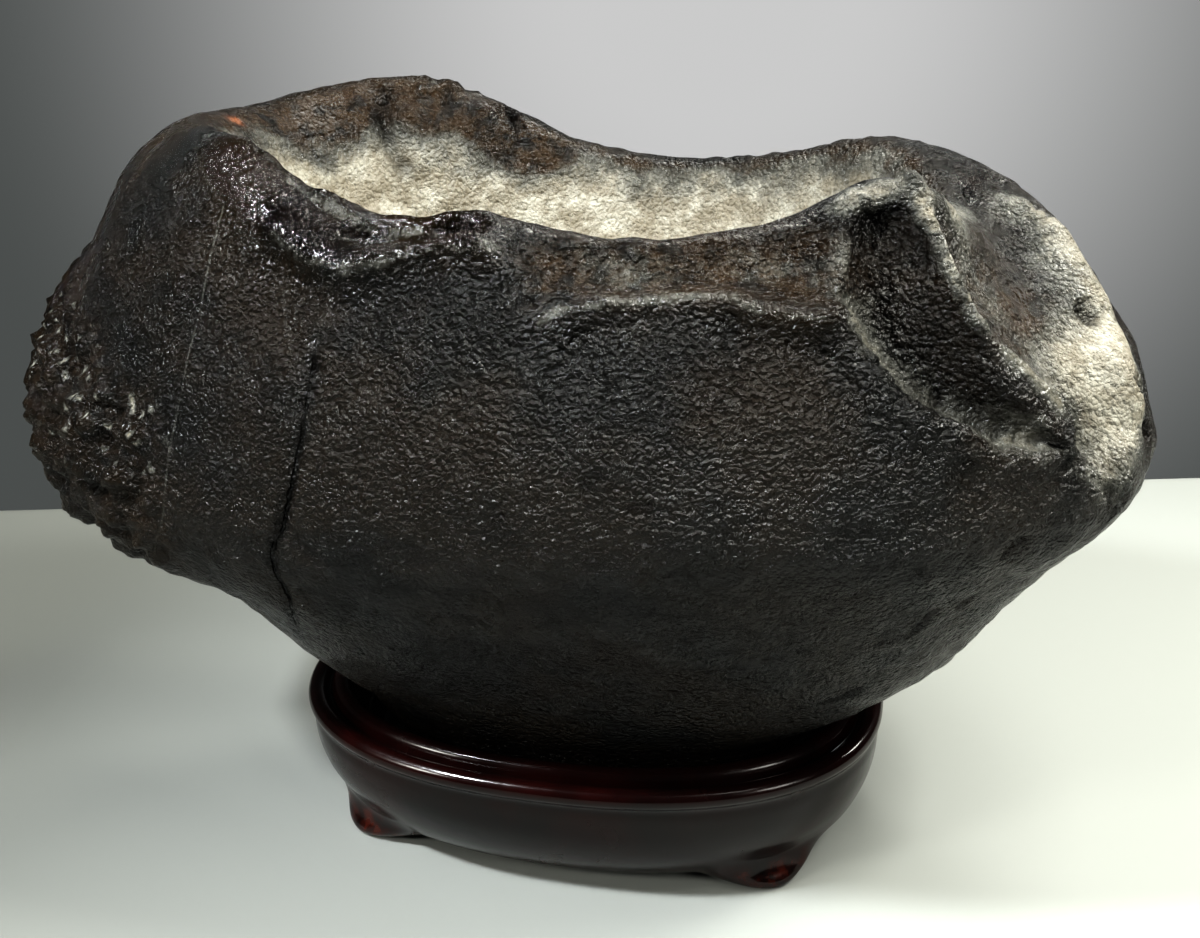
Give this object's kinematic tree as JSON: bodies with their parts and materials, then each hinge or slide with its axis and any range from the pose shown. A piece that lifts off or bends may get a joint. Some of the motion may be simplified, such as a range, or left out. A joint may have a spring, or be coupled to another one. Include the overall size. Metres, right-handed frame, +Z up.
{
  "type": "scholars rock",
  "caption": "Dark waxy basin-shaped display stone with a knobby end and a hollowed rounded spout, resting in a low oval carved wooden stand.",
  "frame": {"origin": "under the middle of the whole outline, on the surface that the stand's feet rest on", "axes": "+X along the stone's length, towards the hollowed spout; -Y towards the front; +Z up"},
  "size_m": [0.204, 0.118, 0.1374],
  "materials": {
    "stone": "waxed, semi-gloss, leathery grain",
    "lacquered_wood": "glossy dark red lacquer"
  },
  "bodies": {
    "root": {"rock": "stone", "stand": "lacquered_wood"}
  },
  "joints": []
}
